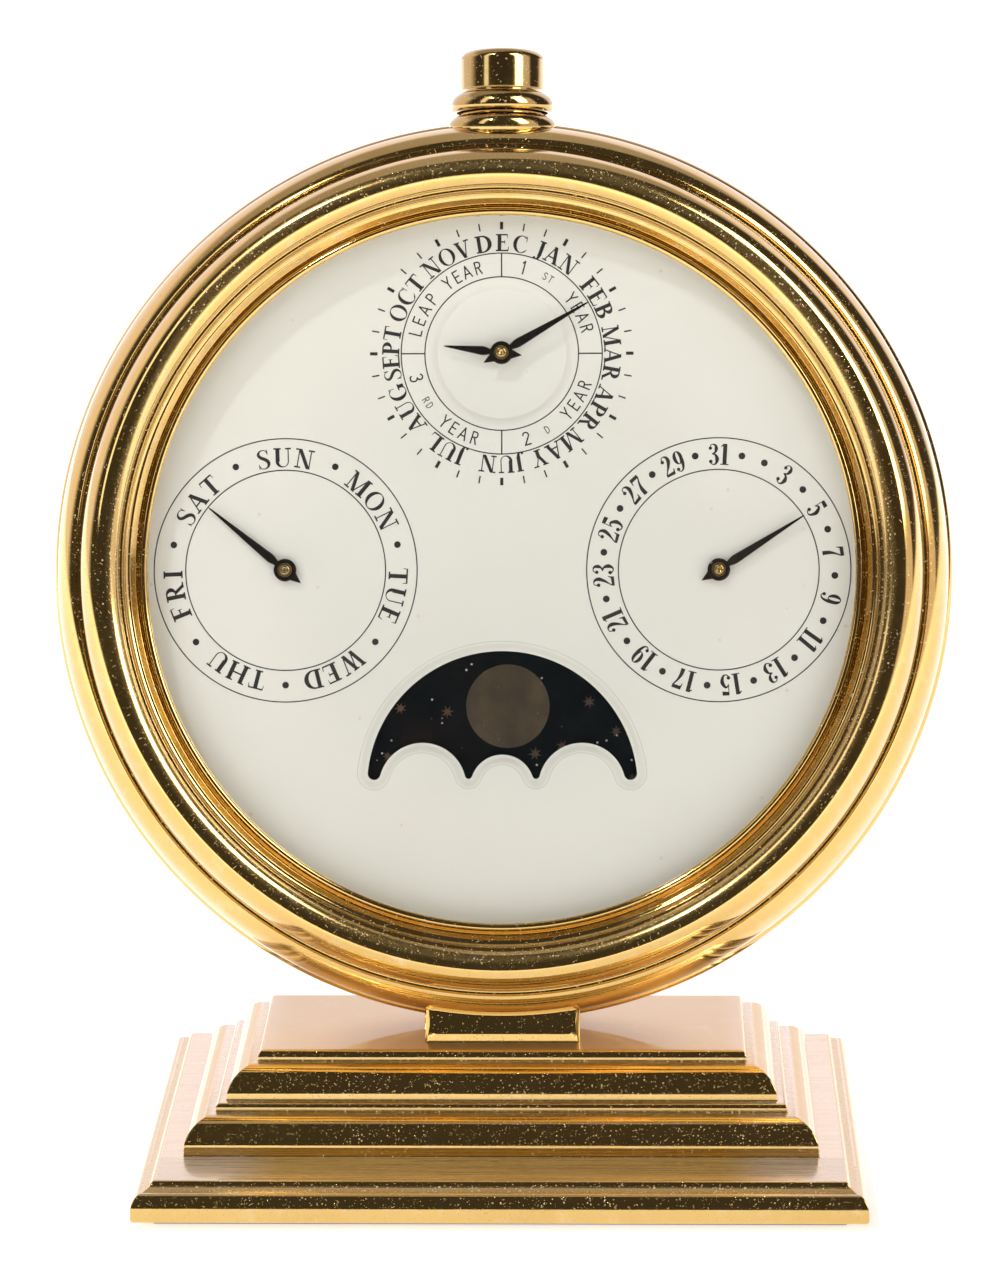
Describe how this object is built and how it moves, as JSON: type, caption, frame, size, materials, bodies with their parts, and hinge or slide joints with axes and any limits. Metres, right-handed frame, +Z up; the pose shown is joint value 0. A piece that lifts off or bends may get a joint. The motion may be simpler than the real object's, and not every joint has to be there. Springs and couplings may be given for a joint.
{
  "type": "perpetual desk calendar",
  "caption": "Round gilt desk calendar leaning on a stepped foot; a button on top is there to advance the day, date, month, leap-year and moon displays.",
  "frame": {"origin": "centre of the rectangular foot, at the level it rests on", "axes": "+X to the right as seen from the front, +Y towards the back (the dial looks towards -Y and leans back 15 degrees), +Z up"},
  "size_m": [0.12, 0.0694, 0.145],
  "materials": {
    "gilt": "polished and lacquered gilt brass, fine dust",
    "plate_brass": "brushed, unlacquered",
    "steel": "fine ground",
    "crystal_glass": "clear, flat",
    "gasket_rubber": "matt",
    "dial_white": "satin off-white enamel with black print",
    "night_enamel": "gloss dark blue enamel with small gilt marks",
    "hand_black": "gloss black",
    "felt": "dark felt"
  },
  "bodies": {
    "stand_and_case": {"felt_pad": "felt", "plinth": "gilt", "floor_plate": "plate_brass", "floor_plate_screw_1": "steel", "floor_plate_screw_2": "steel", "floor_plate_screw_3": "steel", "floor_plate_screw_4": "steel", "pedestal": "gilt", "pedestal_screw_1": "steel", "pedestal_screw_2": "steel", "case_foot_screw_1": "steel", "case_foot_screw_2": "steel", "case_band": "gilt", "rear_cover": "gilt", "rear_cover_screw_1": "steel", "rear_cover_screw_2": "steel", "rear_cover_screw_3": "steel", "rear_cover_screw_4": "steel", "bezel": "gilt", "crystal": "crystal_glass", "crystal_gasket": "gasket_rubber", "crystal_ring": "plate_brass", "dial": "dial_white", "dial_pillar_1": "plate_brass", "dial_pillar_2": "plate_brass", "dial_pillar_3": "plate_brass", "dial_pillar_4": "plate_brass", "main_plate": "plate_brass", "plate_screw_1": "steel", "plate_screw_2": "steel", "plate_screw_3": "steel", "day_jumper": "steel", "date_jumper": "steel", "month_jumper": "steel", "moon_jumper": "steel", "lever_spring": "steel", "lever_stud": "steel", "idler_stud": "steel", "pusher_collar": "gilt", "pusher_spring": "steel"},
    "pusher": {"pusher_cap": "gilt", "pusher_stem": "steel", "stem_clip": "steel"},
    "lever": {"great_lever": "steel", "day_click": "steel", "date_click": "steel", "moon_click": "steel", "cam_feeler": "steel"},
    "date": {"date_wheel": "plate_brass", "date_hand": "hand_black"},
    "day": {"day_wheel": "steel", "day_hand": "hand_black"},
    "month": {"month_wheel": "steel", "month_hand": "hand_black"},
    "idler": {"idler_wheel": "plate_brass"},
    "leap": {"leap_wheel": "plate_brass", "program_cam": "steel", "leap_year_hand": "hand_black"},
    "moon": {"moon_wheel": "plate_brass", "moon_disc": "night_enamel"}
  },
  "joints": [
    {"name": "pusher_press", "type": "slide", "parent": "stand_and_case", "child": "pusher", "axis": [0, -0.2588, -0.9659], "range_m": [0, 0.00045], "stiffness_N_per_m": 1500, "springref_m": -0.002, "deforming": ["pusher_spring"]},
    {"name": "great_lever_swing", "type": "hinge", "parent": "stand_and_case", "child": "lever", "pos_m": [0.02001, 0.02184, 0.11381], "axis": [0, -0.9659, 0.2588], "range_deg": [0, 1.35]},
    {"name": "date_spin", "type": "hinge", "parent": "stand_and_case", "child": "date", "pos_m": [0.02875, 0.012, 0.0771], "axis": [0, 0.9659, -0.2588], "continuous": true},
    {"name": "day_spin", "type": "hinge", "parent": "stand_and_case", "child": "day", "pos_m": [-0.02875, 0.012, 0.0771], "axis": [0, 0.9659, -0.2588], "continuous": true},
    {"name": "month_spin", "type": "hinge", "parent": "stand_and_case", "child": "month", "pos_m": [0, 0.01944, 0.10487], "axis": [0, 0.9659, -0.2588], "continuous": true},
    {"name": "idler_spin", "type": "hinge", "parent": "stand_and_case", "child": "idler", "pos_m": [0.00636, 0.01779, 0.09872], "axis": [0, 0.9659, -0.2588], "continuous": true},
    {"name": "leap_spin", "type": "hinge", "parent": "stand_and_case", "child": "leap", "pos_m": [0, 0.01944, 0.10487], "axis": [0, 0.9659, -0.2588], "continuous": true},
    {"name": "moon_spin", "type": "hinge", "parent": "stand_and_case", "child": "moon", "pos_m": [0, 0.00456, 0.04932], "axis": [0, 0.9659, -0.2588], "continuous": true}
  ],
  "couplings": [
    {"joint": "great_lever_swing", "follows": "pusher_press", "rad_per_m": 49.974},
    {"joint": "day_spin", "follows": "date_spin", "ratio": 4.4286},
    {"joint": "moon_spin", "follows": "date_spin", "ratio": 0.52542},
    {"joint": "month_spin", "follows": "date_spin", "ratio": 0.083333},
    {"joint": "idler_spin", "follows": "date_spin", "ratio": -0.041667},
    {"joint": "leap_spin", "follows": "date_spin", "ratio": 0.020833}
  ]
}
